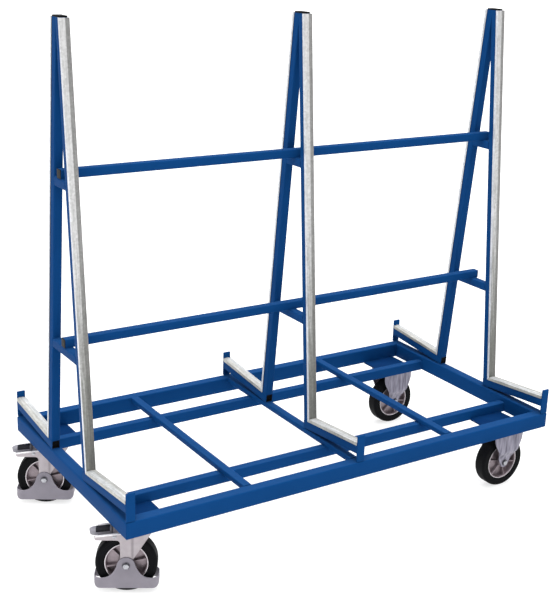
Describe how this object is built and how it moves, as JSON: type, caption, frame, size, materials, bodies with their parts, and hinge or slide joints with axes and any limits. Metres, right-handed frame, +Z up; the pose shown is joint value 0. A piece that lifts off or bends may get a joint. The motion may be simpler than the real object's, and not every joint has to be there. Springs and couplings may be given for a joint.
{
  "type": "sheet goods cart",
  "caption": "Tube-frame cart with A-frames and galvanised rests that carries sheets on edge along both sides, on fixed casters and braked swivel casters",
  "frame": {"origin": "On the floor, under the middle of the footprint, brake pedals included", "axes": "+X along the cart towards the fixed casters, +Y across it towards the back, +Z up"},
  "size_m": [1.7992, 0.918, 1.78],
  "materials": {
    "blue_powder_coat": "satin powder coat",
    "galvanised_profile": "galvanised, dull",
    "zinc_plated_steel": "zinc plated, satin",
    "grey_paint": "satin grey paint",
    "cast_aluminium": "as cast",
    "rubber_tyre": "matt black rubber"
  },
  "bodies": {
    "cart": {"front_side_member": "blue_powder_coat", "right_end_member": "blue_powder_coat", "back_side_member": "blue_powder_coat", "left_end_member": "blue_powder_coat", "front_stringer": "blue_powder_coat", "back_stringer": "blue_powder_coat", "left_cross_bar": "blue_powder_coat", "middle_cross_bar": "blue_powder_coat", "right_cross_bar": "blue_powder_coat", "left_back_leg": "blue_powder_coat", "left_back_rest": "blue_powder_coat", "left_back_leg_cover": "galvanised_profile", "left_back_rest_cover": "galvanised_profile", "left_front_leg": "blue_powder_coat", "left_front_rest": "blue_powder_coat", "left_front_leg_cover": "galvanised_profile", "left_front_rest_cover": "galvanised_profile", "left_lower_spreader": "blue_powder_coat", "left_upper_spreader": "blue_powder_coat", "middle_back_leg": "blue_powder_coat", "middle_back_rest": "blue_powder_coat", "middle_back_leg_cover": "galvanised_profile", "middle_back_rest_cover": "galvanised_profile", "middle_front_leg": "blue_powder_coat", "middle_front_rest": "blue_powder_coat", "middle_front_leg_cover": "galvanised_profile", "middle_front_rest_cover": "galvanised_profile", "middle_lower_spreader": "blue_powder_coat", "middle_upper_spreader": "blue_powder_coat", "right_back_leg": "blue_powder_coat", "right_back_rest": "blue_powder_coat", "right_back_leg_cover": "galvanised_profile", "right_back_rest_cover": "galvanised_profile", "right_front_leg": "blue_powder_coat", "right_front_rest": "blue_powder_coat", "right_front_leg_cover": "galvanised_profile", "right_front_rest_cover": "galvanised_profile", "right_lower_spreader": "blue_powder_coat", "right_upper_spreader": "blue_powder_coat", "lower_rail": "blue_powder_coat", "upper_rail": "blue_powder_coat", "front_left_caster_head": "zinc_plated_steel", "front_right_fork": "zinc_plated_steel", "back_left_caster_head": "zinc_plated_steel", "back_right_fork": "zinc_plated_steel"},
    "front_swivel": {"front_left_fork": "zinc_plated_steel", "front_left_foot_guard": "grey_paint"},
    "front_left_wheel": {"front_left_rim": "cast_aluminium", "front_left_tyre": "rubber_tyre"},
    "front_brake": {"front_left_brake_pedal": "grey_paint"},
    "front_right_wheel": {"front_right_rim": "cast_aluminium", "front_right_tyre": "rubber_tyre"},
    "back_swivel": {"back_left_fork": "zinc_plated_steel", "back_left_foot_guard": "grey_paint"},
    "back_left_wheel": {"back_left_rim": "cast_aluminium", "back_left_tyre": "rubber_tyre"},
    "back_brake": {"back_left_brake_pedal": "grey_paint"},
    "back_right_wheel": {"back_right_rim": "cast_aluminium", "back_right_tyre": "rubber_tyre"}
  },
  "joints": [
    {"name": "front_swivel_turn", "type": "hinge", "parent": "cart", "child": "front_swivel", "pos_m": [-0.75143, -0.3445, 0.236], "axis": [0, 0, 1], "continuous": true},
    {"name": "front_left_wheel_spin", "type": "hinge", "parent": "front_swivel", "child": "front_left_wheel", "pos_m": [-0.79473, -0.3195, 0.1], "axis": [-0.5, -0.866, 0], "continuous": true},
    {"name": "front_brake_tip", "type": "hinge", "parent": "front_swivel", "child": "front_brake", "pos_m": [-0.80512, -0.3135, 0.216], "axis": [-0.5, -0.866, 0], "range_deg": [0, 12]},
    {"name": "front_right_wheel_spin", "type": "hinge", "parent": "cart", "child": "front_right_wheel", "pos_m": [0.78157, -0.3445, 0.1], "axis": [0, 1, 0], "continuous": true},
    {"name": "back_swivel_turn", "type": "hinge", "parent": "cart", "child": "back_swivel", "pos_m": [-0.75143, 0.3445, 0.236], "axis": [0, 0, 1], "continuous": true},
    {"name": "back_left_wheel_spin", "type": "hinge", "parent": "back_swivel", "child": "back_left_wheel", "pos_m": [-0.79473, 0.3695, 0.1], "axis": [-0.5, -0.866, 0], "continuous": true},
    {"name": "back_brake_tip", "type": "hinge", "parent": "back_swivel", "child": "back_brake", "pos_m": [-0.80512, 0.3755, 0.216], "axis": [-0.5, -0.866, 0], "range_deg": [0, 12]},
    {"name": "back_right_wheel_spin", "type": "hinge", "parent": "cart", "child": "back_right_wheel", "pos_m": [0.78157, 0.3445, 0.1], "axis": [0, 1, 0], "continuous": true}
  ]
}
